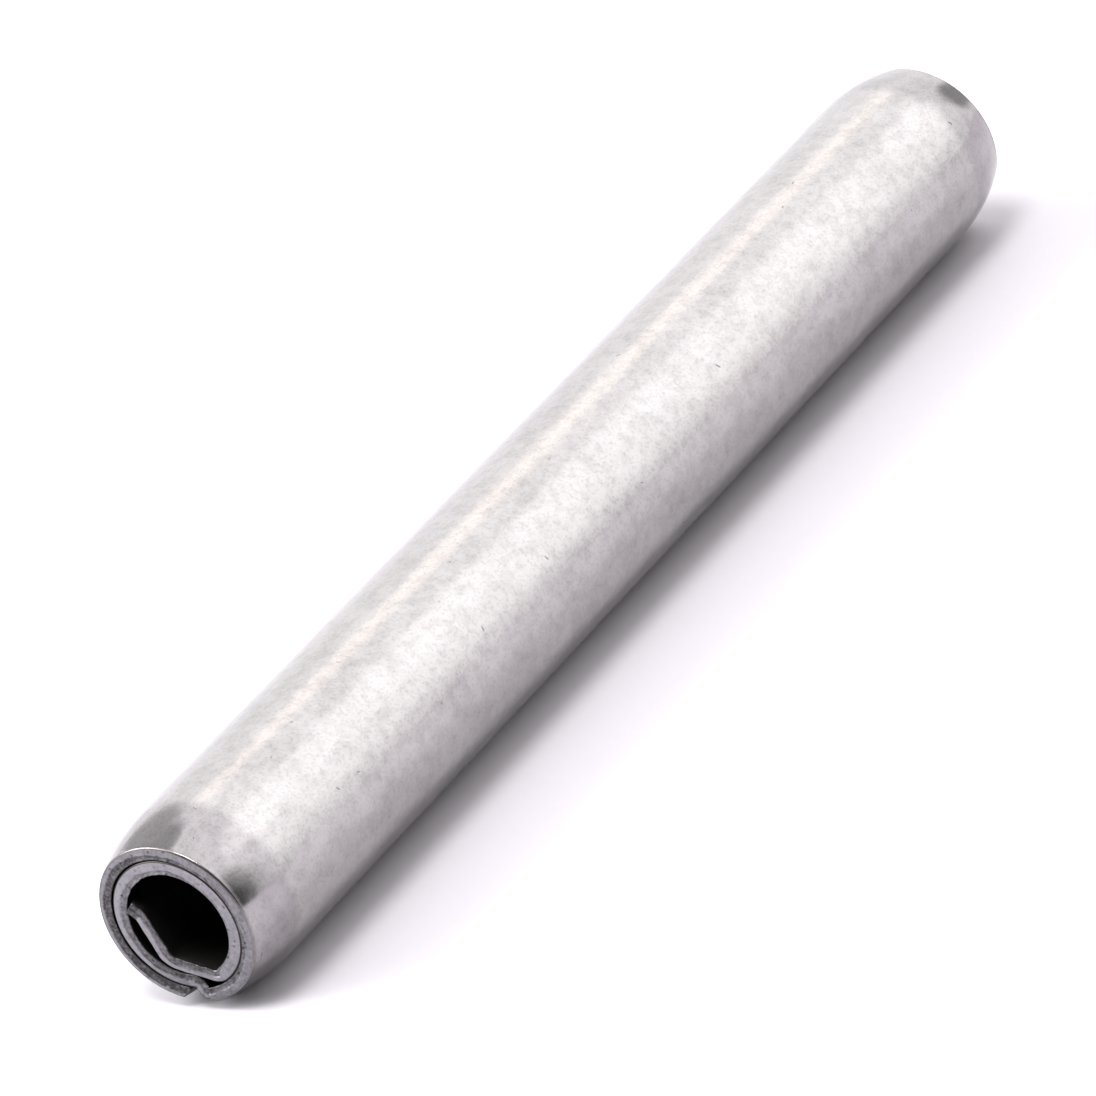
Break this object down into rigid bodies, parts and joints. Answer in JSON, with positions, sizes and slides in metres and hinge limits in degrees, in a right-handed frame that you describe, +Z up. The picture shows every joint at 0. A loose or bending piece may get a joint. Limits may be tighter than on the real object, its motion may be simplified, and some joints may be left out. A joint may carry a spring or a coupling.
{
  "type": "coiled spring pin",
  "caption": "Coiled spring pin: one strip of spring steel rolled into a spiral, open along its seam, with both ends swaged in so that it starts easily in its hole.",
  "frame": {"origin": "on the pin's axis, at the middle of its length", "axes": "X along the pin's axis, +Z up as the pin lies at rest on the two lips of its seam, which runs along the underside; the strip is rolled from the foot towards +Y"},
  "size_m": [0.05, 0.0064, 0.0063],
  "materials": {
    "spring_steel": "bare spring steel, tumbled to a satin, burnished on the swaged ends, sheared end faces"
  },
  "bodies": {
    "root": {"spring_pin": "spring_steel"}
  },
  "joints": []
}
